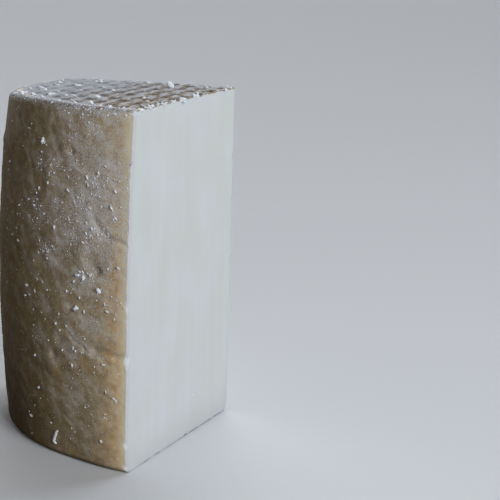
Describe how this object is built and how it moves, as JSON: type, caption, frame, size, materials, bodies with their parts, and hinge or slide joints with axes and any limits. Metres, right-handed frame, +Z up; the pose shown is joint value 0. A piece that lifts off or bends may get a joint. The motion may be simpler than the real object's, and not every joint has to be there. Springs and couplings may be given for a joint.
{
  "type": "pecorino wedge",
  "caption": "Quarter wheel of firm sheep's milk cheese, cut straight down twice, with a dusted brown rind, a mat-printed top and smooth pale cut faces.",
  "frame": {"origin": "middle of the bounding box, on the flat base that the wedge stands on", "axes": "+Z up, along the wheel's axis; the nose edge, which was that axis, stands at +X +Y; the cut faces look along +X and +Y, and the rind bulges towards -X and -Y"},
  "size_m": [0.0842, 0.0842, 0.12],
  "materials": {
    "cheese": "matte"
  },
  "bodies": {
    "root": {"cheese_wedge": "cheese"}
  },
  "joints": []
}
